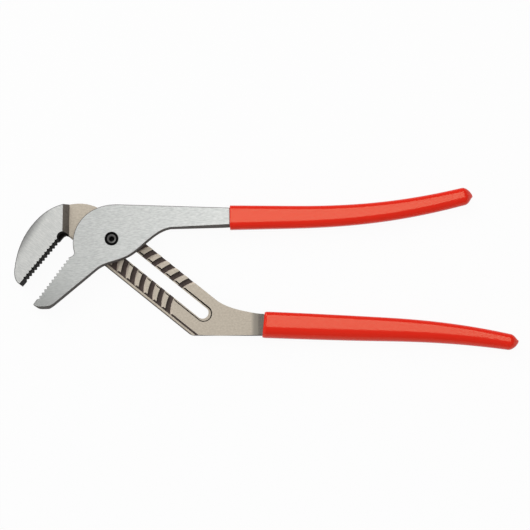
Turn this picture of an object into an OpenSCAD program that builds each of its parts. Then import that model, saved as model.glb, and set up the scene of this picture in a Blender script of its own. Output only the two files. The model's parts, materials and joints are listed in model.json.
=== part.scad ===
// Water pump pliers with a tongue and groove joint, lying on their back.
// The pivot axis is Z, X runs to the handles, and the rest plane is z = 0. Sizes are in millimetres.

/* [Joint] */
// Thickness of the two halves together at the head
head_thick = 17; // [15:0.5:20]
// Running gap between the two joint faces
joint_gap = 0.2; // [0.1:0.05:0.4]
// Edge break around the flat faces
edge_break = 0.5; // [0.2:0.1:0.9]
// Angle of the slot below the X axis
slot_angle = 38.8; // [36:0.2:42]
// Clearance of the screw's shank across the slot
slot_play = 0.6; // [0.3:0.05:1.2]
// Length of the slot past the last pivot place
slot_extra = 0.6; // [0.4:0.1:4]
// Width of the ledge on either side of the slot in its front channel
mouth_ledge = 0.9; // [0.4:0.05:1.2]
// Width of the sloped wall on either side of the front channel
mouth_flare = 1.05; // [0.5:0.05:1.4]
// How far the front channel runs on past the slot's far end
mouth_run = 1.5; // [0:0.1:3]
// Depth of the slot's front channel
mouth_depth = 2.6; // [1.5:0.1:3]
// Spacing of the grooves along the slot
groove_pitch = 9.6; // [9:0.1:10.4]
// Number of grooves
groove_count = 11; // [7:1:11]
// Radius of each groove about its pivot place
groove_r = 27.4; // [26.4:0.1:28]
// Width of a groove at the face
groove_w = 5.9; // [4.4:0.1:6.2]
// Width of a groove's sloped side, towards the handles
groove_slope = 1.9; // [1.5:0.1:2.6]
// Depth of a groove
groove_depth = 2.8; // [2.2:0.1:3.2]
// Gap between the tongue and its groove
tongue_gap = 0.25; // [0.15:0.05:0.4]
// Angle at which the tongue begins, about the pivot
tongue_start = 150; // [145:1:165]
// Angle that the jaws close through from the rest pose
swing_close = 11.7; // [8:0.1:13]
// Angle that the jaws open through from the rest pose
swing_open = 45; // [35:1:50]
// Gap left between the swing stops and the bar
stop_gap = 0.4; // [0.2:0.1:0.8]

/* [Slotted half] */
// Distance of the bar's upper edge from the slot axis
bar_upper = 15; // [14:0.2:17]
// Distance of the bar's lower edge from the slot axis
bar_lower = 20.4; // [20:0.1:21.4]
// Distance of the land's lower edge from the slot axis
land_lower = 16.6; // [15.5:0.1:17.4]
// Depth of the ledge below the joint face
ledge_depth = 3; // [2.8:0.1:4]
// Run of the ledge's sloped wall
ledge_slope = 1.5; // [0.8:0.1:2]
// Place along the slot where the ledge begins, under the head
ledge_start = -12; // [-16:0.5:-6]
// Bevel of the bar's lower edge between the hook and the ledge
bar_bevel = 1; // [0.4:0.1:1.6]
// Distance of the hook's tooth line from the pivot
hook_line = 34.8; // [34:0.2:40]
// Reach of the hook's tip from the slot axis
hook_reach = 77; // [74:0.2:80]
// Radius of the relief in the throat
throat_r = 4.8; // [3.5:0.1:5.5]
// How far the throat's centre lies behind the tooth line
throat_back = 2.2; // [1:0.1:3]
// Distance of the throat's centre from the slot axis
throat_out = 24.4; // [23.6:0.1:25.4]
// Length of the eased corner behind the throat, to either side
throat_ease = 3; // [2:0.1:4]
// Distance of the last tooth's root from the slot axis
hook_heel = 28; // [26:0.2:32]
// Top of the bar behind the hook, along X
crown_x = -30; // [-33:0.5:-27]
// Height of that top above the pivot
crown_y = 31; // [30:0.1:33]
// Point halfway down the back of the hook, along X
brow_x = -60; // [-62:0.1:-58]
// Height of that point above the pivot
brow_y = 18.4; // [17:0.1:20]
// Foremost point of the hook, ahead of its tip
nose_out = 4.6; // [3:0.1:7]
// Height of that point above the tip
nose_up = 12.5; // [9:0.1:16]
// Place along the slot where the bar's straight upper edge begins
upper_edge_start = -10; // [-14:0.5:-6]
// Place along the slot where the bar's straight upper edge ends
upper_edge_end = 96; // [90:0.5:99]
// Length of the eased corner below the slot's end, to either side
corner_ease = 3; // [2:0.5:6]
// Distance of the step's foot from the pivot
step_foot = 36.5; // [35:0.1:38]
// Run of the sloped step
step_run = 4.4; // [2:0.1:6]
// Length of the rise from the bar to the lower handle
rise_len = 10; // [8:0.5:14]
// Height of the lower handle's front face
lower_front = 16.3; // [14:0.1:16.8]
// Width of the lower handle where its grip begins
lower_handle_w = 16.8; // [15:0.1:18]
// Start of the lower grip along X
lower_root_x = 126; // [120:0.5:132]
// Centre of the lower handle there
lower_root_y = -71; // [-74:0.5:-69]
// Place along X where the lower handle starts to bend
lower_bend_x = 225; // [205:1:245]
// Centre of the lower handle there
lower_bend_y = -74.7; // [-77:0.1:-72]
// End of the lower grip along X
lower_end_x = 336.5; // [312:0.5:352]
// Centre of the lower grip there
lower_end_y = -86.5; // [-92:0.1:-80]

/* [Swing half] */
// Distance of the swing jaw's tooth line from the pivot
swing_line = 19.25; // [18:0.05:22]
// Distance of the swing jaw's heel from the slot axis, jaws parallel
swing_heel = 33.4; // [31:0.2:36]
// Reach of the swing jaw's tip from the slot axis, jaws parallel
swing_reach = 81.9; // [79:0.2:85]
// Opening of the jaws at rest, from parallel
rest_open = 2.7; // [0:0.1:4]
// Radius of the round rim of the head
rim_r = 30.7; // [29.5:0.1:32]
// Centre of the round rim along X
rim_x = -1.4; // [-3:0.1:0]
// Height of that centre above the pivot
rim_y = -2.9; // [-4:0.1:-1]
// Lowest point of the chin, behind the jaw's tip
chin_run = 8.5; // [6:0.1:12]
// Depth of that point below the tip
chin_drop = 2.2; // [2.2:0.2:3.2]
// Start of the straight lower edge, behind the jaw's tip
jowl_run = 18.4; // [16:0.1:22]
// Height of that point above the tip
jowl_rise = 1.4; // [0:0.1:3]
// Where the lower edge meets the head, along X
nape_x = -12.6; // [-15:0.1:-10]
// Height of that point above the pivot
nape_y = -25.6; // [-27:0.1:-24]
// Foot of the neck between the head and the upper handle, along X
neck_foot_x = 8.4; // [6:0.1:11]
// Height of the neck's foot above the pivot
neck_foot_y = -16.8; // [-18:0.1:-15]
// Middle of the neck along X
neck_mid_x = 26; // [23:0.1:28]
// Height of the neck's middle above the pivot
neck_mid_y = -4.9; // [-6:0.1:-2]
// Where the neck runs into the handle's lower edge, along X
neck_top_x = 51.8; // [47:0.1:54]
// Height of that point above the pivot
neck_top_y = 9.8; // [8:0.1:10.4]
// Highest point of the head along X
poll_x = 4.3; // [0:0.1:8]
// Height of the head above the pivot
poll_y = 28.9; // [27.5:0.1:30]
// Inset of the bevel along the jaw's lower back edge
jaw_bevel = 2.4; // [1:0.1:4]
// Where the handle starts to thicken
ramp_start = 45; // [42:1:55]
// How far before its grip the handle has its full thickness
ramp_gap = 6; // [3:0.5:16]
// Width of the upper handle where its grip begins
upper_handle_w = 14.3; // [13:0.1:16]
// Start of the upper grip along X
upper_root_x = 98; // [92:0.5:104]
// Centre of the upper handle there
upper_root_y = 18.95; // [17:0.05:21]
// Place along X where the upper handle starts to bend
upper_bend_x = 152; // [140:1:165]
// Centre of the upper handle there
upper_bend_y = 19.5; // [17:0.1:22]
// End of the upper grip along X
upper_end_x = 300.5; // [280:0.5:316]
// Centre of the upper grip there
upper_end_y = 39.3; // [33:0.1:44]

/* [Teeth] */
// Spacing of the teeth
tooth_pitch = 3.32; // [2.4:0.02:4.2]
// Depth of the teeth
tooth_depth = 1.5; // [1:0.05:1.7]
// Flat left on each tooth
tooth_flat = 0.3; // [0.1:0.05:0.6]
// Plain land at each jaw tip
tip_land = 5.2; // [4:0.1:6]

/* [Pivot] */
// Diameter of the screw's shank
shank_d = 9.5; // [8.5:0.05:9.7]
// Diametral clearance of the shank in the swing half
shank_play = 0.1; // [0.04:0.02:0.2]
// Width of the screw head's shoulder around the shank
head_lip = 0.95; // [0.6:0.05:1.6]
// Diametral clearance around the screw's head
head_play = 0.2; // [0.1:0.05:0.4]
// Length of the screw's head
screw_head_len = 5; // [3:0.1:6]
// Depth of the screw's head below the front face
head_sink = 0.2; // [0:0.05:0.5]
// Diameter of the conical recess in the screw's head
dish_d = 7.4; // [6:0.1:8.5]
// Depth of the conical recess
dish_depth = 0.9; // [0.4:0.1:1.4]
// Hexagon socket of the screw, across flats
socket_af = 4; // [3:0.5:4]
// Depth of the socket below the recess
socket_depth = 3; // [2:0.1:4]
// Diameter of the screw's thread
thread_d = 8; // [6:0.1:8]
// Diametral clearance of the thread in the nut
thread_play = 0.06; // [0.02:0.02:0.1]
// Width of the nut across its guiding flats
nut_w = 15; // [13:0.1:16]
// Length of the nut's flats
nut_flat_len = 3; // [1:0.1:6]
// Thickness of the nut
nut_thick = 2.8; // [2:0.1:3]
// Height of the nut's back above the rest plane
nut_sink = 0.4; // [0.2:0.1:0.8]
// Clearance of the nut in its channel
nut_play = 0.2; // [0.1:0.05:0.4]

/* [Grips] */
// Wall of the dipped grips
grip_wall = 2.3; // [1.6:0.1:2.8]
// Gap between a handle's shoulder and its grip
grip_gap = 0.05; // [0.02:0.01:0.2]
// How far each tang lies inside the handle's outline
tang_inset = 0.25; // [0.15:0.05:0.5]
// Half width of the upper grip at its end
upper_end_half = 6.5; // [5:0.1:8]
// Half width of the lower grip at its end
lower_end_half = 6.1; // [5:0.1:8]
// Thickness of a grip at its end
grip_end_thick = 13.5; // [11:0.5:15]
// Corner radius of a grip at its start
grip_round = 3.2; // [2.4:0.1:4]
// Corner radius of a grip at its end
grip_end_round = 5; // [4:0.1:5.4]
// Length over which a grip's end is rounded off
end_round_len = 7.5; // [6:0.5:10]
// Half width of the blunt point at a grip's end
end_point = 0.8; // [0.5:0.1:1.5]
// Distance from a grip's end to the end of its tang
tang_short = 12; // [10:1:20]

/* [Hidden] */

steel_bright = "#c3c7c8";
steel_tan = "#b5a996";
vinyl_red = "#d6301d";
oxide_black = "#232323";

// Cutters pass this far beyond what they cut
over = 1;
// Cutters that span the tool reach this far
far = 2 * swing_reach;
// Facets of a full circle
round_steps = 96;
// Sides of the screw's socket
hex_sides = 6;
right_angle = 90;
half_turn = 180;
// Steps along each curved stretch of an outline
curve_steps = 9;
// Share of the chord that a curve's handles take
curve_pull = 0.36;
// Points on each rounded corner of a swept section
corner_steps = 4;
// Sections along a handle
path_steps = 24;
// Share of the grip's wall by which a tang's corners are sharper than its grip's
corner_share = 0.6;
// Flat that a section keeps on each side at least
min_flat = 0.1;
// Sections over a grip's rounded end
end_steps = 8;
// How far a tang reaches back into its handle
tang_root_len = 5;

joint_low = head_thick / 2 - joint_gap / 2;
joint_high = head_thick / 2 + joint_gap / 2;
slot_w = shank_d + slot_play;
slot_len = (groove_count - 1) * groove_pitch + slot_extra;
screw_head_d = shank_d + 2 * head_lip;
channel_w = nut_w + 2 * nut_play;
channel_depth = nut_sink + nut_thick + nut_play;
tongue_drop = groove_depth - tongue_gap;
handle_back = grip_wall - tang_inset;
// The grooves and the tongue run on by this angle past the edges that they cross
ridge_over = 4;
groove_half = asin(bar_lower / (groove_r - groove_w / 2)) + ridge_over;
// The tongue runs on into the jaw's shoulder
tongue_end = 180 + stop_heading(-swing_close) - acos((bar_lower + stop_gap) / groove_r) + 2 * ridge_over;

// Headings of the two handles at their grips' start and end, from the X axis
upper_heading = 0.7;
upper_end_heading = 15;
lower_heading = -2;
lower_end_heading = -10.5;
// Headings of the outlines at their named points
lower_rise_heading = 168;
crown_heading = 184;
brow_heading = 224;
nose_heading = 265;
hook_tip_heading = 330;
jaw_tip_heading = 300;
lower_edge_heading = 40;
neck_foot_heading = 20;
neck_mid_heading = 42;
neck_top_heading = 5;
rim_from = 122;
rim_to = 196;
heel_start_heading = 280;
heel_heading = 182;

crown = [crown_x, crown_y];
brow = [brow_x, brow_y];
lower_root = [lower_root_x, lower_root_y];
lower_bend = [lower_bend_x, lower_bend_y];
lower_end = [lower_end_x, lower_end_y];
rim_mid = [rim_x, rim_y];
nape = [nape_x, nape_y];
neck_foot = [neck_foot_x, neck_foot_y];
neck_mid = [neck_mid_x, neck_mid_y];
neck_top = [neck_top_x, neck_top_y];
poll = [poll_x, poll_y];
upper_root = [upper_root_x, upper_root_y];
upper_bend = [upper_bend_x, upper_bend_y];
upper_end = [upper_end_x, upper_end_y];
hook_tip = slot_pt(-hook_line, -hook_reach);
nose = hook_tip + [-nose_out, nose_up];
jaw_tip = swing_pt(-swing_line, -swing_reach);
jaw_heel = swing_pt(-swing_line, -swing_heel);
chin = jaw_tip + [chin_run, -chin_drop];
jowl = jaw_tip + [jowl_run, jowl_rise];

function dir(a) = [cos(a), sin(a)];
function left(a) = [-sin(a), cos(a)];
function unit(v) = v / norm(v);
function mix(a, b, u) = a + (b - a) * u;
function turn(p, a) = [p.x * cos(a) - p.y * sin(a), p.x * sin(a) + p.y * cos(a)];
// A point given along and across the slot
function slot_pt(s, n) = turn([s, n], -slot_angle);
// A point of the swing half, given along and across the slot with the jaws parallel
function swing_pt(s, n) = turn(slot_pt(s, n), rest_open);
// Heading of the bar's normal as the swing half sees it, turned by the angle a
function stop_heading(a) = 90 - slot_angle - a;

function cubic(p, q, r, s, t) =
    p * pow(1 - t, 3) + 3 * q * pow(1 - t, 2) * t + 3 * r * (1 - t) * t * t + s * pow(t, 3);
// Curve that leaves p at heading a and reaches q at heading b, without its last point
function bend(p, a, q, b, n = curve_steps) =
    let (pull = norm(q - p) * curve_pull)
    [for (i = [0 : n - 1]) cubic(p, p + pull * dir(a), q - pull * dir(b), q, i / n)];
// Round arc from angle a to angle b, without its last point
function arc(mid, r, a, b, n) = [for (i = [0 : n - 1]) mid + r * dir(mix(a, b, i / n))];

// Outline moved inwards by d, corner by corner
function inset(pts, d) =
    let (n = len(pts))
    [for (i = [0 : n - 1])
        let (
            before = unit(pts[i] - pts[(i + n - 1) % n]),
            after = unit(pts[(i + 1) % n] - pts[i]),
            a = [-before.y, before.x],
            b = [-after.y, after.x]
        )
        pts[i] + d * (a + b) / (1 + a * b)];
function at_height(pts, z) = [for (p = pts) [p.x, p.y, z]];
function reversed(rows) = [for (i = [len(rows) - 1 : -1 : 0]) rows[i]];

// Closed skin over a row of rings that have equally many points.
// The first rows of faces, inner of them, are split along the other diagonal.
module loft(rings, inner = 0) {
    m = len(rings[0]);
    last = (len(rings) - 1) * m;
    polyhedron(
        points = [for (ring = rings) each ring],
        faces = concat(
            [[for (i = [0 : m - 1]) i]],
            [for (k = [0 : len(rings) - 2], i = [0 : m - 1])
                let (a = k * m + i, b = k * m + (i + 1) % m)
                each k < inner ? [[a, a + m, b], [a + m, b + m, b]] : [[a, a + m, b + m], [a, b + m, b]]],
            [[for (i = [m - 1 : -1 : 0]) last + i]]
        )
    );
}

// Closed band that runs around an outline, with rings that follow one another about its section
module band(rings) {
    m = len(rings[0]);
    n = len(rings);
    polyhedron(
        points = [for (ring = rings) each ring],
        faces = [for (k = [0 : n - 1], i = [0 : m - 1])
            let (
                a = k * m + i,
                b = k * m + (i + 1) % m,
                c = (k + 1) % n * m + (i + 1) % m,
                d = (k + 1) % n * m + i
            )
            each [[a, d, c], [a, c, b]]]
    );
}

// Flat forging with broken edges
module slab(outline, low, high) {
    outside = inset(outline, -over);
    inside = inset(outline, edge_break + over);
    difference() {
        translate([0, 0, low]) linear_extrude(high - low) polygon(outline);
        band([
            at_height(inside, high + over),
            at_height(outside, high - edge_break - over),
            at_height(outside, high + over)
        ]);
        band([
            at_height(inside, low - over),
            at_height(outside, low - over),
            at_height(outside, low + edge_break + over)
        ]);
    }
}

// Row of V cuts between tip and heel along a tooth line that runs towards -Y on x = 0
module tooth_cuts(tip, heel) {
    gap_half = (tooth_pitch - tooth_flat) / 2;
    count = floor((tip - tip_land - heel) / tooth_pitch);
    translate([0, 0, -over]) {
        linear_extrude(head_thick + 2 * over) {
            for (i = [0 : count - 1]) {
                mid = -tip + tip_land + (i + 0.5) * tooth_pitch;
                polygon([
                    [over, mid - gap_half],
                    [0, mid - gap_half],
                    [-tooth_depth, mid],
                    [0, mid + gap_half],
                    [over, mid + gap_half]
                ]);
            }
        }
    }
}

// Long shape with round ends between two places on the slot axis
module long_hole(start, end, w, low, high) {
    for (s = [start, end]) {
        translate([s, 0, low]) cylinder(h = high - low, d = w, $fn = round_steps);
    }
    translate([start, -w / 2, low]) cube([end - start, w, high - low]);
}

// Front channel of the slot, narrower at its floor
module mouth(start, end) {
    floor_z = joint_low - mouth_depth;
    floor_half = slot_w / 2 + mouth_ledge;
    top_half = floor_half + mouth_flare * (1 + over / mouth_depth);
    for (s = [start, end]) {
        translate([s, 0, floor_z]) {
            cylinder(h = mouth_depth + over, r1 = floor_half, r2 = top_half, $fn = round_steps);
        }
    }
    translate([start, 0, floor_z]) {
        rotate([90, 0, 90]) {
            linear_extrude(end - start) {
                polygon([
                    [-floor_half, 0],
                    [floor_half, 0],
                    [top_half, mouth_depth + over],
                    [-top_half, mouth_depth + over]
                ]);
            }
        }
    }
}

// Cut along the bar's lower edge, with a sloped wall that runs out from the edge it leaves on the joint face
module edge_cut(start, end, edge, run, depth) {
    outside = bar_lower + run + over;
    translate([start, 0, joint_low]) {
        rotate([right_angle, 0, right_angle]) {
            linear_extrude(end - start) {
                polygon([
                    [-outside, -depth],
                    [-edge - run, -depth],
                    [run / depth * over - edge, over],
                    [-outside, over]
                ]);
            }
        }
    }
}

// Ring segment with one upright side and one sloped side, between two angles about the pivot
module ridge(outer, floor_w, slope_w, low, high, from, to) {
    slope = slope_w / (high - low);
    rotate([0, 0, from]) {
        rotate_extrude(angle = to - from, $fn = 2 * round_steps) {
            polygon([
                [outer, low],
                [outer, high + over],
                [outer - floor_w - slope_w - slope * over, high + over],
                [outer - floor_w, low]
            ]);
        }
    }
}

// Path of a handle from its grip's start to the grip's end, as points with headings
function handle_path(root, a, middle, b, end, c, n = path_steps) =
    let (
        half = floor(n / 3),
        pts = concat(bend(root, a, middle, b, half), bend(middle, b, end, c, n - half), [end])
    )
    [for (i = [0 : n])
        let (v = pts[min(i + 1, n)] - pts[max(i - 1, 0)])
        [pts[i], i == 0 ? a : atan2(v.y, v.x)]];
// Lengths along a path, from its first point
function path_lengths(path, i = 0, sum = 0) =
    i == len(path) - 1
        ? [sum]
        : concat([sum], path_lengths(path, i + 1, sum + norm(path[i + 1][0] - path[i][0])));

// Rounded section across a handle, reaching half to either side and from low to high
function section(at, a, half, low, high, r) =
    let (
        q = min(r, half - min_flat, (high - low) / 2 - min_flat),
        mids = [[half - q, low + q], [half - q, high - q], [q - half, high - q], [q - half, low + q]]
    )
    [for (k = [0 : 3], i = [0 : corner_steps - 1])
        let (
            p = mids[k] + q * dir(right_angle * (k - 1 + i / (corner_steps - 1))),
            xy = at + p.x * left(a)
        )
        [xy.x, xy.y, p.y]];

// One row for each handle: path, half width at the root, half width at the end,
// power of the taper, front face of the tang at the root
upper_row = [
    handle_path(upper_root, upper_heading, upper_bend, upper_heading, upper_end, upper_end_heading),
    upper_handle_w / 2 - tang_inset, upper_end_half - grip_wall, 1, head_thick - tang_inset
];
lower_row = [
    handle_path(lower_root, lower_heading, lower_bend, lower_heading, lower_end, lower_end_heading),
    lower_handle_w / 2 - tang_inset, lower_end_half - grip_wall, 2, lower_front - tang_inset
];
grip_end_low = (head_thick - grip_end_thick) / 2;

// Section of a tang or, with the grip's wall added, of its grip, at the share u of the path
function handle_section(row, at, a, u, wall, shrink = 1) =
    let (
        half = mix(row[1], row[2], pow(u, row[3])) + wall,
        low = mix(grip_wall, grip_end_low + grip_wall, u * u) - wall,
        high = mix(row[4], grip_end_low + grip_end_thick - grip_wall, u) + wall,
        r = mix(grip_round, grip_end_round, u) - (grip_wall - wall) * corner_share,
        mid = (low + high) / 2
    )
    section(at, a, half * shrink, mid + (low - mid) * shrink, mid + (high - mid) * shrink, r * shrink);

// Rings of a tang from its root to its end
function tang_rings(row) =
    let (path = row[0], lengths = path_lengths(path), total = lengths[len(path) - 1])
    [for (i = [0 : len(path) - 1])
        if (lengths[i] < total - tang_short)
            handle_section(row, path[i][0], path[i][1], lengths[i] / total, 0)];
// Rings of a grip's outside, drawn in to a blunt point as a quarter wave
function grip_rings(row) =
    let (
        path = row[0],
        lengths = path_lengths(path),
        total = lengths[len(path) - 1],
        tail = path[len(path) - 1],
        point = acos(end_point / (row[2] + grip_wall))
    )
    concat(
        [for (i = [0 : len(path) - 1])
            if (lengths[i] < total - end_round_len)
                handle_section(row, path[i][0], path[i][1], lengths[i] / total, grip_wall)],
        [for (i = [0 : end_steps])
            let (b = point * i / end_steps, back = end_round_len * (1 - i / end_steps))
            handle_section(row, tail[0] - back * dir(tail[1]), tail[1], 1, grip_wall, cos(b))]
    );

// Bar with slot and grooves, hook jaw and lower handle
function slotted_outline() =
    let (
        foot = slot_pt(0, -bar_lower),
        corner_y = lower_root.y - lower_handle_w / 2,
        corner = [foot.x + (foot.y - corner_y) / tan(slot_angle), corner_y],
        out = left(lower_heading) * lower_handle_w / 2,
        stub = lower_root - grip_gap * dir(lower_heading)
    )
    concat(
        bend(
            slot_pt(-hook_line, -bar_lower - throat_ease), right_angle - slot_angle,
            slot_pt(throat_ease - hook_line, -bar_lower), -slot_angle, 2
        ),
        [slot_pt(throat_ease - hook_line, -bar_lower)],
        bend(corner - corner_ease * dir(-slot_angle), -slot_angle, corner + [corner_ease, 0], -1, 5),
        [stub - out],
        bend(stub + out, lower_rise_heading, slot_pt(upper_edge_end, bar_upper), 180 - slot_angle),
        bend(slot_pt(upper_edge_start, bar_upper), 180 - slot_angle, crown, crown_heading),
        bend(crown, crown_heading, brow, brow_heading),
        bend(brow, brow_heading, nose, nose_heading),
        bend(nose, nose_heading, hook_tip, hook_tip_heading, 6),
        [hook_tip]
    );

module slotted_half() {
    front_run = step_run * (head_thick + over - joint_low) / (head_thick - joint_low);
    rise_start = lower_root.x - rise_len;
    // Round rise that leaves the joint face smoothly, run on beyond the front face
    rise_high = lower_front - joint_low;
    rise_r = (rise_len * rise_len + rise_high * rise_high) / (2 * rise_high);
    rise_mid = [rise_start, joint_low + rise_r];
    rise_end = asin(rise_len / rise_r) - right_angle;
    throat = slot_pt(throat_back - hook_line, -throat_out);
    ledge_z = joint_low - ledge_depth;
    // Where the step's foot crosses the bar's lower edge
    bevel_start = (bar_lower * sin(slot_angle) - step_foot) / cos(slot_angle);
    color(steel_tan) {
        difference() {
            union() {
                slab(slotted_outline(), 0, head_thick);
                tang(lower_row);
            }
            // Joint face, from the sloped step to the rise
            rotate([90, 0, 0]) {
                translate([0, 0, -far]) {
                    linear_extrude(2 * far) {
                        polygon([
                            [-step_foot, joint_low],
                            each arc(rise_mid, rise_r, -right_angle, rise_end, curve_steps),
                            rise_mid + rise_r * dir(rise_end),
                            [rise_start + rise_len, head_thick + over],
                            [-step_foot - front_run, head_thick + over]
                        ]);
                    }
                }
            }
            // Front of the lower handle
            translate([rise_start, lower_root.y - lower_handle_w, lower_front]) {
                cube([2 * rise_len, 2 * lower_handle_w, head_thick]);
            }
            // Relief in the throat, down to the ledge's level
            translate([throat.x, throat.y, ledge_z]) {
                cylinder(h = head_thick, r = throat_r, $fn = round_steps);
            }
            rotate([0, 0, -slot_angle]) {
                translate([-hook_line, 0, 0]) tooth_cuts(hook_reach, hook_heel);
                edge_cut(bevel_start, ledge_start + over, bar_lower - bar_bevel, bar_bevel, bar_bevel);
                edge_cut(ledge_start, slot_len + bar_lower, land_lower, ledge_slope, ledge_depth);
                long_hole(0, slot_len, slot_w, -over, head_thick);
                long_hole(-nut_flat_len / 2, slot_len + nut_flat_len / 2, channel_w, -over, channel_depth);
                mouth(0, slot_len + mouth_run);
                for (k = [0 : groove_count - 1]) {
                    translate([k * groove_pitch, 0, 0]) {
                        ridge(
                            groove_r + groove_w / 2, groove_w - groove_slope, groove_slope,
                            joint_low - groove_depth, joint_low,
                            half_turn - groove_half, half_turn + groove_half
                        );
                    }
                }
            }
        }
    }
}

// Round head with swing jaw and upper handle
function swing_outline() =
    let (
        out = left(upper_heading) * upper_handle_w / 2,
        stub = upper_root - grip_gap * dir(upper_heading),
        rim_start = rim_mid + rim_r * dir(rim_from),
        rim_end = rim_mid + rim_r * dir(rim_to)
    )
    concat(
        bend(jaw_tip, jaw_tip_heading, chin, 0, 6),
        bend(chin, 0, jowl, lower_edge_heading, 6),
        bend(nape, lower_edge_heading, neck_foot, neck_foot_heading),
        bend(neck_foot, neck_foot_heading, neck_mid, neck_mid_heading),
        bend(neck_mid, neck_mid_heading, neck_top, neck_top_heading),
        [stub - out, stub + out],
        bend(poll, half_turn, rim_start, rim_from + right_angle, 7),
        arc(rim_mid, rim_r, rim_from, rim_to, 14),
        bend(rim_end, heel_start_heading, jaw_heel, heel_heading, 7),
        [jaw_heel]
    );

// Full-thickness blank with the bevel under the jaw's lower edge
module swing_blank() {
    lower_edge = nape - jowl;
    bevel_top = joint_high - edge_break;
    lead = chin_run + over;
    difference() {
        slab(swing_outline(), 0, head_thick);
        translate([jowl.x, jowl.y, 0]) {
            rotate([90, 0, 90 + atan2(lower_edge.y, lower_edge.x)]) {
                translate([0, 0, -lead]) {
                    linear_extrude(norm(lower_edge) + lead) {
                        polygon([[-over, bevel_top], [0, bevel_top], [jaw_bevel, -over], [-over, -over]]);
                    }
                }
            }
        }
    }
}

// Space below the joint face and the handle's ramp, without the jaw's shoulder between its two stops
module swing_underside() {
    close_heading = stop_heading(-swing_close);
    open_heading = stop_heading(swing_open);
    middle = 180 + (close_heading + open_heading) / 2;
    apex = (bar_lower + stop_gap) / cos((close_heading - open_heading) / 2) * dir(middle);
    difference() {
        rotate([90, 0, 0]) {
            translate([0, 0, -far]) {
                linear_extrude(2 * far) {
                    polygon([
                        [-far, -over],
                        [-far, joint_high],
                        [ramp_start, joint_high],
                        [upper_root.x - ramp_gap, handle_back],
                        [upper_root.x + over, handle_back],
                        [upper_root.x + over, -over]
                    ]);
                }
            }
        }
        translate([0, 0, -2 * over]) {
            linear_extrude(head_thick) {
                polygon([
                    apex,
                    apex + far * dir(close_heading + 90),
                    apex + 2 * far * dir(middle),
                    apex - far * dir(open_heading + 90)
                ]);
            }
        }
    }
}

module swing_half() {
    head_floor = head_thick - head_sink - screw_head_len;
    color(steel_bright) {
        difference() {
            swing_blank();
            swing_underside();
            rotate([0, 0, rest_open - slot_angle]) {
                translate([-swing_line, 0, 0]) mirror([1, 0, 0]) tooth_cuts(swing_reach, swing_heel);
            }
            translate([0, 0, -over]) {
                cylinder(h = head_thick + 2 * over, d = shank_d + shank_play, $fn = round_steps);
            }
            translate([0, 0, head_floor]) {
                cylinder(h = head_thick, d = screw_head_d + head_play, $fn = round_steps);
            }
        }
        // Tongue that sits in one of the grooves
        ridge(
            groove_r + groove_w / 2 - tongue_gap, groove_w - groove_slope - 2 * tongue_gap, groove_slope,
            joint_low - tongue_drop, joint_low, tongue_start, tongue_end
        );
        tang(upper_row);
    }
}

// Part of a handle that the grip covers, with a root inside the handle
module tang(row) {
    start = row[0][0];
    loft(concat(
        [handle_section(row, start[0] - tang_root_len * dir(start[1]), start[1], 0, 0)],
        tang_rings(row)
    ));
}

// Dipped sleeve, closed at its end, with the tang's own skin inside
module grip(row) {
    inside = reversed(tang_rings(row));
    loft(concat(inside, grip_rings(row)), len(inside) - 1);
}

module slotted_grip() {
    color(vinyl_red) grip(lower_row);
}

module swing_grip() {
    color(vinyl_red) grip(upper_row);
}

// Shoulder screw, flush in the swing half
module pivot_screw() {
    top = head_thick - head_sink;
    head_low = top - screw_head_len;
    nut_top = nut_sink + nut_thick;
    socket_d = socket_af / cos(half_turn / hex_sides);
    // The recess widens on beyond the face
    mouth_d = dish_d + (dish_d - socket_d) * over / dish_depth;
    color(oxide_black) {
        difference() {
            union() {
                translate([0, 0, head_low]) {
                    cylinder(h = screw_head_len, d = screw_head_d, $fn = round_steps);
                }
                translate([0, 0, nut_top]) {
                    cylinder(h = head_low - nut_top, d = shank_d, $fn = round_steps);
                }
                translate([0, 0, nut_sink]) {
                    cylinder(h = nut_thick, d = thread_d, $fn = round_steps);
                }
            }
            translate([0, 0, top - dish_depth]) {
                cylinder(h = dish_depth + over, d1 = socket_d, d2 = mouth_d, $fn = round_steps);
            }
            translate([0, 0, top - dish_depth - socket_depth]) {
                cylinder(h = socket_depth + over, d = socket_d, $fn = hex_sides);
            }
        }
    }
}

// Nut with two flats that ride in the slot's back channel
module pivot_nut() {
    color(oxide_black) {
        rotate([0, 0, -slot_angle]) {
            difference() {
                long_hole(-nut_flat_len / 2, nut_flat_len / 2, nut_w, nut_sink, nut_sink + nut_thick);
                cylinder(h = head_thick, d = thread_d + thread_play, $fn = round_steps);
            }
        }
    }
}

slotted_half();
slotted_grip();
pivot_screw();
pivot_nut();
swing_half();
swing_grip();
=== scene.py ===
import json
import math

import bpy
import numpy as np
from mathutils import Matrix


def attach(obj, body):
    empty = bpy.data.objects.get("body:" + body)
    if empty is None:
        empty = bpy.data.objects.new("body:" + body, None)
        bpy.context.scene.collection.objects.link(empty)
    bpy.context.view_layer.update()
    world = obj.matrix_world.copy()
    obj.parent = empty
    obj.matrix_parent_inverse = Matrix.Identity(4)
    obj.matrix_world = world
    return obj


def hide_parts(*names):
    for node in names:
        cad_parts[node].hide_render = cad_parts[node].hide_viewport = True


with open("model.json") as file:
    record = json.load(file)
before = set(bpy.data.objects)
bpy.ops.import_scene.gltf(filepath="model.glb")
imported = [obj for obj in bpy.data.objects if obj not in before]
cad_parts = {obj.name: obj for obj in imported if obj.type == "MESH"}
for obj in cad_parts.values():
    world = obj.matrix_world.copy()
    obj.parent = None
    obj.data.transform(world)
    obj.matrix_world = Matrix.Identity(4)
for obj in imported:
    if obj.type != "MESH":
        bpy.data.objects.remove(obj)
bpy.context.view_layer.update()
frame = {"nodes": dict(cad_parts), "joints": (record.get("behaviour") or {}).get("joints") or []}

mm = 0.001
nodes = frame["nodes"]
scene = bpy.context.scene
scene.view_settings.view_transform = "Standard"
print("stage frame")


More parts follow.
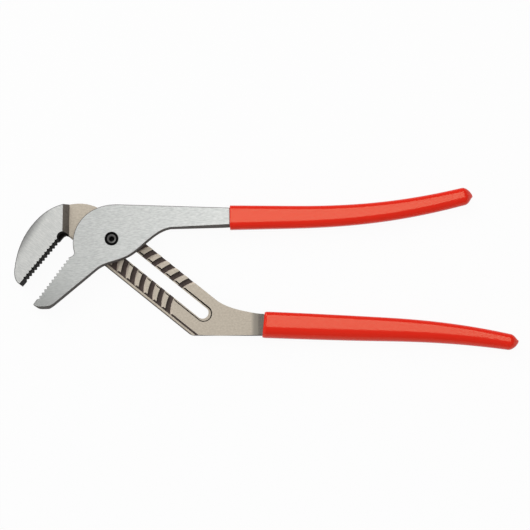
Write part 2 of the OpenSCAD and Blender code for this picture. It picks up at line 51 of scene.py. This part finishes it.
def linear(hexColour):
    # sRGB hex to the linear colour that the shaders take
    parts = np.array([int(hexColour[i:i + 2], 16) for i in (1, 3, 5)]) / 255
    return (*np.where(parts <= 0.04045, parts / 12.92, ((parts + 0.055) / 1.055) ** 2.4), 1.0)


def newMaterial(name):
    material = bpy.data.materials.new(name)
    material.use_nodes = True
    return material, material.node_tree.nodes["Principled BSDF"]


def addNode(material, kind, values=None, links=None, **settings):
    # One node with its settings, its constant inputs and its linked inputs
    node = material.node_tree.nodes.new("ShaderNode" + kind)
    for name, value in settings.items():
        setattr(node, name, value)
    for key, value in (values or {}).items():
        node.inputs[key].default_value = value
    for key, socket in (links or {}).items():
        material.node_tree.links.new(socket, node.inputs[key])
    return node


def setShader(shader, **values):
    for name, value in values.items():
        shader.inputs[name.replace("_", " ")].default_value = value


# What all the steel shares: its noise, the span of that noise between the two tones, and how much it shines
grain = {"detail": 4.0, "roughness": 0.65, "from": 0.35, "to": 0.65, "bareShine": 0.5, "scaleShine": 0.15}


def steel(name, tones, roughness, streak, turn=0.0, fade=None, bare=True):
    # Steel with a grain: noise drawn out along the grain's direction. streak is its length and width in mm,
    # drawn coarser than the marks of a real belt or wheel, which are too fine to show.
    # Bare steel is metal, and under its scale it is a matt oxide that shines little.
    # A fade turns the steel to another tone between two distances, in mm, along a straight direction
    material, shader = newMaterial(name)
    setShader(shader, Metallic=1.0 if bare else 0.0, Roughness=roughness,
              Specular_IOR_Level=grain["bareShine"] if bare else grain["scaleShine"])
    place = addNode(material, "TexCoord")
    size = (streak[0] * mm, streak[1] * mm, streak[1] * mm)
    along = addNode(material, "Mapping", {"Rotation": (0, 0, math.radians(turn)), "Scale": size},
                    {"Vector": place.outputs["Object"]}, vector_type="TEXTURE")
    noise = addNode(material, "TexNoise",
                    {"Scale": 1.0, "Detail": grain["detail"], "Roughness": grain["roughness"]},
                    {"Vector": along.outputs[0]})
    share = addNode(material, "MapRange", {"From Min": grain["from"], "From Max": grain["to"]},
                    {"Value": noise.outputs[0]})
    mixed = addNode(material, "MixRGB", {"Color1": linear(tones[0]), "Color2": linear(tones[1])},
                    {"Fac": share.outputs[0]})
    if fade:
        reach = addNode(material, "VectorMath", {1: fade["along"]}, {0: place.outputs["Object"]},
                        operation="DOT_PRODUCT")
        turned = addNode(material, "MapRange", {"From Min": fade["from"] * mm, "From Max": fade["to"] * mm},
                         {"Value": reach.outputs["Value"]}, interpolation_type="SMOOTHSTEP")
        mixed = addNode(material, "MixRGB", {"Color2": linear(fade["tone"])},
                        {"Fac": turned.outputs[0], "Color1": mixed.outputs[0]})
    material.node_tree.links.new(mixed.outputs[0], shader.inputs["Base Color"])
    return material


satinTones = ("#bab1a3", "#c9c0b2")
satinStreak = (1.8, 1.4)
scaleStreak = (2.0, 2.0)
# Drop-forged steel with its front faces ground: bright, cool, with a fine grain along the handle, and painted darker
# towards the jaw's tip: painted shade where the overhead light falls off
paintedTipShade = {"along": (-0.627, -0.779, 0.0), "from": 35.0, "to": 95.0, "tone": "#939492"}
groundSteel = steel("groundSteel", ("#9b9d9b", "#b3b4b2"), 0.38, (3.5, 0.8), 4, paintedTipShade)
# The hook's front, linished along the slot, so its grain runs down to the right, and painted darker near its outer
# edge: painted shade of that slightly rounded edge
paintedEdgeShade = {"along": (-0.847, 0.532, 0.0), "from": 54.0, "to": 63.5, "tone": "#787877"}
linishedSteel = steel("linishedSteel", ("#acadab", "#c1c1be"), 0.48, (4.0, 0.6), -39, paintedEdgeShade)
# Milled joint faces under clear lacquer: satin and warm, painted greyer where they rise to the lower handle: painted
# shade of the curve
paintedRiseShade = {"along": (1.0, 0.0, 0.0), "from": 115.0, "to": 119.0, "tone": "#9a948a"}
satinSteel = steel("satinSteel", satinTones, 0.65, satinStreak, 0, paintedRiseShade)
# The ledge along the bar's lower edge, with scale left on its outer corner
ledgeScale = {"along": (-0.6266, -0.7793, 0.0), "from": 19.2, "to": 20.3, "tone": "#4a423c"}
ledgeSteel = steel("ledgeSteel", satinTones, 0.65, satinStreak, 0, ledgeScale)
# Sloped sides of the grooves: a matt cut, painted much lighter than the satin: painted light where the slopes face
# the lamp
cutSteelPaintedLight = steel("cutSteelPaintedLight", ("#e6dccf", "#f2eadf"), 0.9, satinStreak)
# Groove floors and lower side walls, where the scale of the heat treatment stays brown
brownScale = steel("brownScale", ("#463c38", "#564b47"), 0.7, scaleStreak, bare=False)
# The step below the hook, with a thinner and greyer scale, and the steep end of the milled rise, where this grey is
# painted shade
greyScaleAndRiseShade = steel("greyScaleAndRiseShade", ("#706a63", "#817a72"), 0.7, scaleStreak, bare=False)
# Forged side walls, never ground: dark grey
forgedScale = steel("forgedScale", ("#585452", "#66625f"), 0.8, scaleStreak, bare=False)
# Teeth, throat and the walls inside the slot and grooves, blackened by the heat treatment
blackScale = steel("blackScale", ("#151210", "#1e1a18"), 0.8, scaleStreak, bare=False)

# Black oxide on the screw and its nut: deep black with a dull sheen
blackOxide, shader = newMaterial("blackOxide")
setShader(shader, Base_Color=linear("#0b0b0b"), Metallic=1.0, Roughness=0.4)
# The screw's conical recess, painted a lighter grey metal than the black oxide: a painted highlight of its cone
coneHighlightSteel, shader = newMaterial("coneHighlightSteel")
setShader(shader, Base_Color=linear("#767573"), Metallic=1.0, Roughness=0.4)
# Plastisol from the dip tank: a thick, glossy, even red. Its shine is matched, weaker and yellower than plain
dippedVinyl, shader = newMaterial("dippedVinyl")
setShader(shader, Base_Color=linear("#ea1704"), Roughness=0.19, IOR=1.52, Specular_IOR_Level=0.41,
          Specular_Tint=(1.0, 1.0, 0.65, 1.0))
print("stage materials")


def faceFacts(node):
    # Centres in mm, normals and lowest points in mm of a node's triangles, as whole arrays
    mesh = nodes[node].data
    faces = mesh.polygons
    centres = np.empty(3 * len(faces))
    normals = np.empty(3 * len(faces))
    faces.foreach_get("center", centres)
    faces.foreach_get("normal", normals)
    corners = np.empty(len(mesh.loops), dtype=np.int32)
    points = np.empty(3 * len(mesh.vertices))
    mesh.loops.foreach_get("vertex_index", corners)
    mesh.vertices.foreach_get("co", points)
    lowest = points[2::3][corners].reshape(-1, 3).min(1)
    return centres.reshape(-1, 3) / mm, normals.reshape(-1, 3), lowest / mm


def dress(node, finishes, picks):
    # Each triangle takes the finish that its pick names
    mesh = nodes[node].data
    mesh.materials.clear()
    for finish in finishes:
        mesh.materials.append(finish)
    mesh.polygons.foreach_set("material_index", np.asarray(picks, dtype=np.int32))
    mesh.update()


def near(values, target, slack=0.05):
    return np.abs(values - target) < slack


# Heights and places that tell the slotted half's faces apart, in mm, and tilts as the normal's share along an axis
slottedHalf = {
    "front": 17.0,
    "jointFace": 8.4,
    "mouthFloor": 5.8,
    "grooveFloor": 5.6,
    "ledgeFloor": 5.4,
    "ledgeWall": -14.0,
    "slotHalf": 5.13,
    "stepFrom": -41.2,
    "stepTo": -36.2,
    "stepTilt": 0.8,
    "teethTo": -69.0,
    "teethTilt": 0.3,
    "throatFrom": -45.0,
    "throatTo": -25.0,
    "riseFrom": 115.0,
    "riseSteep": 0.8,
    "grooveTilt": 0.562,
    "chamferTilt": 0.707,
    "tiltSlack": 0.03,
    "wallTilt": 0.6,
    "uprightTilt": 0.01,
    "flatTilt": 0.99,
    "lowerSideTilt": -0.5,
    "leastTilt": 0.1,
    "backReach": 1.0,
    "heightSlack": 0.1,
}
slideAxis = np.array(next(joint for joint in frame["joints"] if joint["name"] == "pivot_slide")["axis"])
centres, normals, lowest = faceFacts("slotted_half")
alongHandle = centres[:, 0]
alongSlot = centres @ slideAxis
acrossSlot = centres @ np.array([-slideAxis[1], slideAxis[0], 0])
height = centres[:, 2]
up = normals[:, 2]
wall = np.abs(up) < slottedHalf["wallTilt"]
flat = up > slottedHalf["flatTilt"]
pastStep = alongHandle > slottedHalf["stepTo"]
onBar = pastStep & (height < slottedHalf["jointFace"] + slottedHalf["heightSlack"])
aboveLedge = lowest > slottedHalf["ledgeFloor"] - slottedHalf["heightSlack"]
belowLedgeWall = acrossSlot < slottedHalf["ledgeWall"]
onLedgeFloor = flat & near(height, slottedHalf["ledgeFloor"])
slottedFinishes = [satinSteel, linishedSteel, cutSteelPaintedLight, brownScale, greyScaleAndRiseShade, blackScale, forgedScale, ledgeSteel]
satin, linished, cut, brown, grey, black, forged, ledge = range(len(slottedFinishes))
picks = np.where(wall, forged, satin)
# Teeth, throat and pockets
toMouth = ((alongHandle < slottedHalf["stepTo"]) & (normals @ slideAxis > slottedHalf["teethTilt"])
           & (acrossSlot > slottedHalf["teethTo"]))
inThroat = ((alongSlot < slottedHalf["throatTo"]) & (alongSlot > slottedHalf["throatFrom"])
            & (acrossSlot < 0))
picks[wall & (toMouth | inThroat | aboveLedge)] = black
picks[wall & onBar & aboveLedge & belowLedgeWall] = brown
# The hook's front and the chamfers round it
picks[flat & near(height, slottedHalf["front"])] = linished
picks[near(np.abs(up), slottedHalf["chamferTilt"], slottedHalf["tiltSlack"])
      & (height > slottedHalf["jointFace"])] = black
# Grooves and the ledge below them
# The grooves' sloped sides take the lighter tone that is painted light
picks[onBar & near(up, slottedHalf["grooveTilt"], slottedHalf["tiltSlack"])] = cut
picks[flat & near(height, slottedHalf["grooveFloor"])] = brown
picks[onLedgeFloor & (alongSlot < slottedHalf["throatTo"])] = black
picks[onLedgeFloor & belowLedgeWall & (alongSlot > slottedHalf["throatTo"])] = ledge
# The bar's lower side and the walls of the slot
picks[wall & pastStep & (normals[:, 1] < slottedHalf["lowerSideTilt"])
      & (lowest < slottedHalf["backReach"])] = brown
picks[(np.abs(up) < slottedHalf["uprightTilt"]) & (np.abs(acrossSlot) < slottedHalf["slotHalf"])
      & (height < slottedHalf["mouthFloor"])] = satin
# The step below the hook, in grey scale, and the steep end of the rise, painted grey as shade
step = ((normals[:, 0] > slottedHalf["stepTilt"]) & (alongHandle > slottedHalf["stepFrom"])
        & (alongHandle < slottedHalf["stepTo"]))
picks[step & (up > slottedHalf["leastTilt"])] = grey
rise = ((alongHandle > slottedHalf["riseFrom"]) & (normals[:, 0] < -slottedHalf["leastTilt"])
        & (np.abs(normals[:, 1]) < slottedHalf["leastTilt"]))
picks[rise & (up < slottedHalf["riseSteep"])] = grey
dress("slotted_half", slottedFinishes, picks)

# The swing half: ground front, satin joint face, dark sides
swingHalf = {"front": 17.0, "flatTilt": 0.99, "wallTilt": 0.75}
centres, normals, _ = faceFacts("swing_half")
picks = np.where(np.abs(normals[:, 2]) < swingHalf["wallTilt"], 2, 1)
picks[(normals[:, 2] > swingHalf["flatTilt"]) & near(centres[:, 2], swingHalf["front"])] = 0
dress("swing_half", [groundSteel, satinSteel, forgedScale], picks)

# The screw: black all over but for the cone of its recess, which leans between the two tilts and is painted a
# lighter grey as its highlight
pivotScrew = {"coneFrom": 0.5, "coneTo": 0.95}
_, normals, _ = faceFacts("pivot_screw")
dress("pivot_screw", [blackOxide, coneHighlightSteel],
      (normals[:, 2] > pivotScrew["coneFrom"]) & (normals[:, 2] < pivotScrew["coneTo"]))
dress("pivot_nut", [blackOxide], np.zeros(len(nodes["pivot_nut"].data.polygons)))
print("stage finishes")


def bend(start, startHeading, end, endHeading, steps, pull=0.36):
    # Cubic curve between two points that leaves and arrives at the given headings,
    # each of its handles a share of the chord
    t = np.linspace(0, 1, steps)[:, None]
    start, end = np.array(start, float), np.array(end, float)
    reach = pull * np.linalg.norm(end - start)
    leave = start + reach * np.array([math.cos(math.radians(startHeading)), math.sin(math.radians(startHeading))])
    arrive = end - reach * np.array([math.cos(math.radians(endHeading)), math.sin(math.radians(endHeading))])
    return start * (1 - t) ** 3 + 3 * leave * (1 - t) ** 2 * t + 3 * arrive * (1 - t) * t ** 2 + end * t ** 3


# What both grips share: the share of the sides that the backs round off, the share of the half size that a corner
# may take, how the end's rings crowd together, and how late the drip leans out
dip = {"backShare": 0.9, "cornerMost": 0.97, "endCrowding": 1.5, "dripPower": 6}


def roundedSection(half, tall, corners, cornerSteps=14, flatSteps=11):
    # Rounded rectangles, one row each, as points across and up: two quarter circles in front, two quarter ellipses
    # behind that take up a share of the sides, and straight flats between the four
    quarter = np.linspace(0, math.pi / 2, cornerSteps)
    share = np.linspace(0, 1, flatSteps + 2)[1:-1]
    signs = ((1, 1), (-1, 1), (-1, -1), (1, -1))
    heights = [corners[0], corners[1],
               dip["backShare"] * (2 * tall - corners[1]), dip["backShare"] * (2 * tall - corners[0])]
    arcs = [
        np.stack([
            signs[k][0] * (half - corners[k])[:, None] + corners[k][:, None] * np.cos(quarter + k * math.pi / 2),
            signs[k][1] * (tall - heights[k])[:, None] + heights[k][:, None] * np.sin(quarter + k * math.pi / 2),
        ], 2)
        for k in range(4)
    ]
    rows = []
    for k in range(4):
        begin, end = arcs[k][:, -1:], arcs[(k + 1) % 4][:, :1]
        rows += [arcs[k], begin + (end - begin) * share[:, None]]
    return np.concatenate(rows, 1)


def dippedGrip(grip, steps=220, lipSteps=12, endSteps=28):
    # A rounded rectangle carried along the handle's bent path. Its width and thickness taper with the length,
    # its first edge is a quarter round, and its end is drawn in as a quarter wave to a blunt drip
    path = np.vstack([
        bend(grip["root"], grip["rootHeading"], grip["bend"], grip["rootHeading"], steps)[:-1],
        bend(grip["bend"], grip["rootHeading"], grip["end"], grip["endHeading"], steps),
    ])
    lengths = np.concatenate([[0], np.cumsum(np.linalg.norm(np.diff(path, axis=0), axis=1))])
    total = lengths[-1]
    lip = grip["lip"]
    lipLengths = lip * (1 - np.cos(np.linspace(0, math.pi / 2, lipSteps)))
    endLengths = total - grip["endLength"] * np.linspace(1, 0, endSteps) ** dip["endCrowding"]
    run = np.concatenate([lipLengths, np.linspace(lip, endLengths[0], steps)[1:-1], endLengths])
    centre = np.stack([np.interp(run, lengths, path[:, i]) for i in (0, 1)], 1)
    ahead = np.gradient(path, lengths, axis=0)
    heading = np.stack([np.interp(run, lengths, ahead[:, i]) for i in (0, 1)], 1)
    heading /= np.linalg.norm(heading, axis=1, keepdims=True)
    u = run / total
    half = grip["rootHalf"] + (grip["endHalf"] - grip["rootHalf"]) * u ** grip["taper"]
    low = grip["endLow"] * u ** 2
    top = grip["rootTop"] + (grip["endTop"] - grip["rootTop"]) * u
    tuck = lip - np.sqrt(np.maximum(lip ** 2 - np.maximum(lip - run, 0) ** 2, 0))
    toEnd = np.clip(1 - (total - run) / grip["endLength"], 0, 1)
    drawn = np.cos(math.acos(grip["endPoint"] / grip["endHalf"]) * toEnd) ** grip["endFullness"]
    half = (half - grip["lipSide"] * tuck) * drawn
    tall = ((top - low) / 2 - tuck) * drawn
    most = dip["cornerMost"] * np.minimum(half, tall)
    corners = [np.minimum((a + (b - a) * u) * drawn, most) for a, b in grip["corners"]]
    section = roundedSection(half, tall, corners)
    # The dip ran to the lower side, which is fuller
    across = section[:, :, 0]
    across = np.where(across < 0, across * (1 + grip["belly"] / grip["rootHalf"]), across)
    across = across + (grip["dripOut"] * toEnd ** dip["dripPower"])[:, None]
    z = section[:, :, 1] + ((top + low) / 2)[:, None]
    # The dip line leans: points near the start slide along the handle by their place across it
    slide = grip["lean"] * across / grip["rootHalf"] * np.clip(1 - run / grip["leanLength"], 0, 1)[:, None]
    side = np.stack([-heading[:, 1], heading[:, 0]], 1)
    plan = centre[:, None, :] + across[:, :, None] * side[:, None, :] + slide[:, :, None] * heading[:, None, :]
    return np.concatenate([plan, z[:, :, None]], 2) * mm


def ringQuads(rings):
    # Each quad joins two neighbours on one ring to the same two on the next
    count, around = rings.shape[:2]
    index = np.arange(count * around).reshape(count, around)
    after = np.roll(index, -1, axis=1)
    return index, np.stack([index[:-1], index[1:], after[1:], after[:-1]], 2).reshape(-1, 4)


def newPiece(name, points, faces, material):
    mesh = bpy.data.meshes.new(name)
    mesh.from_pydata(points.reshape(-1, 3).tolist(), [], faces)
    mesh.materials.append(material)
    piece = bpy.data.objects.new(name, mesh)
    scene.collection.objects.link(piece)
    return piece


def skin(name, rings, material):
    # Closed mesh over rings that follow one another, with a flat cap on the first and the last
    index, quads = ringQuads(rings)
    faces = quads.tolist() + [index[0].tolist(), index[-1][::-1].tolist()]
    piece = newPiece(name, rings, faces, material)
    piece.data.polygons.foreach_set("use_smooth", np.arange(len(faces)) < len(quads))
    piece.data.update()
    return piece


# The two dipped grips, in mm and degrees. Each corner is its radius at the root and at the end
upperGrip = {
    "root": (98.0, 18.95),
    "rootHeading": 0.7,
    "bend": (152.0, 19.5),
    "end": (300.5, 39.3),
    "endHeading": 15.0,
    "rootHalf": 9.2,
    "endHalf": 6.5,
    "taper": 1.0,
    "belly": 1.8,
    "endLow": 1.75,
    "rootTop": 19.05,
    "endTop": 15.25,
    "corners": ((3.4, 4.0), (5.0, 5.8), (6.5, 5.2), (5.0, 4.6)),
    "lip": 0.7,
    "lipSide": 1.0,
    "endLength": 7.5,
    "endPoint": 0.8,
    "endFullness": 0.85,
    "dripOut": -1.6,
    "lean": 0.0,
    "leanLength": 20.0,
}
lowerGrip = {
    "root": (126.0, -71.0),
    "rootHeading": -2.0,
    "bend": (225.0, -74.7),
    "end": (336.5, -86.5),
    "endHeading": -10.5,
    "rootHalf": 10.45,
    "endHalf": 6.1,
    "taper": 2.0,
    "belly": 0.5,
    "endLow": 1.75,
    "rootTop": 18.35,
    "endTop": 15.25,
    "corners": ((3.4, 4.2), (8.4, 8.2), (6.5, 5.2), (5.0, 4.6)),
    "lip": 2.6,
    "lipSide": 0.3,
    "endLength": 7.5,
    "endPoint": 0.8,
    "endFullness": 0.85,
    "dripOut": 1.4,
    "lean": 0.6,
    "leanLength": 20.0,
}
for name, grip, node, body in (
    ("upperGripVinyl", upperGrip, "swing_grip", "swing"),
    ("lowerGripVinyl", lowerGrip, "slotted_grip", "slotted"),
):
    piece = skin(name, dippedGrip(grip), dippedVinyl)
    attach(piece, body)
    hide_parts(node)
print("stage grips")

# The studio, in m and degrees. The floor lies a hair below the tool and shows a share of its own shading
studio = {
    "floorRadius": 3.0,
    "rimRadius": 1.5,
    "rimTurn": 75,
    "rimSteps": 14,
    "around": 96,
    "drop": 0.0002,
    "paperTone": "#dcdcdc",
    "shadowShare": 0.05,
    "worldLevel": 0.45,
}
# White paper: a strength of 1 to the camera, in reflections and through glass, mixed with its shaded self,
# which keeps a little of the shadow
paper, shader = newMaterial("whitePaper")
setShader(shader, Base_Color=linear(studio["paperTone"]), Roughness=0.9)
glow = addNode(paper, "Emission", {"Color": (1, 1, 1, 1), "Strength": 1.0})
ray = addNode(paper, "LightPath")
seen = addNode(paper, "Math", links={0: ray.outputs["Is Camera Ray"], 1: ray.outputs["Is Glossy Ray"]},
               operation="MAXIMUM")
seen = addNode(paper, "Math", links={0: seen.outputs[0], 1: ray.outputs["Is Transmission Ray"]},
               operation="MAXIMUM")
share = addNode(paper, "Math", {1: 1 - studio["shadowShare"]}, {0: seen.outputs[0]}, operation="MULTIPLY")
mixed = addNode(paper, "MixShader", links={0: share.outputs[0], 1: shader.outputs[0], 2: glow.outputs[0]})
paper.node_tree.links.new(mixed.outputs[0], paper.node_tree.nodes["Material Output"].inputs[0])

# A round sweep: a flat floor whose rim turns up as an arc of a circle, carried once round
arc = np.radians(np.linspace(0, studio["rimTurn"], studio["rimSteps"]))[:, None]
turn = np.linspace(0, 2 * math.pi, studio["around"], endpoint=False)[None]
reach = studio["floorRadius"] + studio["rimRadius"] * np.sin(arc)
lift = studio["rimRadius"] * (1 - np.cos(arc)) - studio["drop"]
sweep = np.stack([reach * np.cos(turn), reach * np.sin(turn), lift + 0 * turn], 2)
index, quads = ringQuads(sweep)
floor = newPiece("floor", sweep, [index[0].tolist()] + quads[:, ::-1].tolist(), paper)

# Even, dim light from above the sweep
world = bpy.data.worlds.new("studio")
scene.world = world
world.use_nodes = True
sky = world.node_tree.nodes["Background"]
sky.inputs[0].default_value = (1, 1, 1, 1)
sky.inputs[1].default_value = studio["worldLevel"]


def softbox(name, box):
    # Area lamp aimed at its target, whose face shines at the given level, where 1 is white
    data = bpy.data.lights.new(name, "AREA")
    data.shape = "RECTANGLE"
    data.size, data.size_y = box["size"]
    data.energy = box["level"] * math.pi * box["size"][0] * box["size"][1]
    lamp = bpy.data.objects.new(name, data)
    lamp.location = box["place"]
    away = np.array(box["place"], float) - np.array(box["target"], float)
    away /= np.linalg.norm(away)
    lamp.rotation_euler = (math.acos(away[2]), 0, math.atan2(away[0], -away[1]))
    scene.collection.objects.link(lamp)


# The overhead box is what the flat steel and the grips' highlights mirror, in m
softboxes = {
    "overhead": {"place": (0.36, 0.25, 1.6), "target": (0.36, 0.25, 0.0), "size": (1.0, 0.6), "level": 3.2},
    "backPanel": {"place": (-1.1, 1.2, 1.6), "target": (0.13, -0.02, 0.0), "size": (1.6, 1.6), "level": 2.8},
    "frontPanel": {"place": (-1.1, -1.24, 1.6), "target": (0.13, -0.02, 0.0), "size": (1.6, 1.6), "level": 0.4},
}
for name, box in softboxes.items():
    softbox(name, box)

# The camera stands a little below the middle of the tool and looks down on it, in mm and degrees
view = {"lens": 97, "sensor": 36, "place": (127.29, -184.45, 1187), "tilt": 7.9}
cameraData = bpy.data.cameras.new("camera")
cameraData.lens = view["lens"]
cameraData.sensor_width = view["sensor"]
camera = bpy.data.objects.new("camera", cameraData)
camera.location = [value * mm for value in view["place"]]
camera.rotation_euler = (math.radians(view["tilt"]), 0, 0)
scene.collection.objects.link(camera)
scene.camera = camera
print("stage studio")
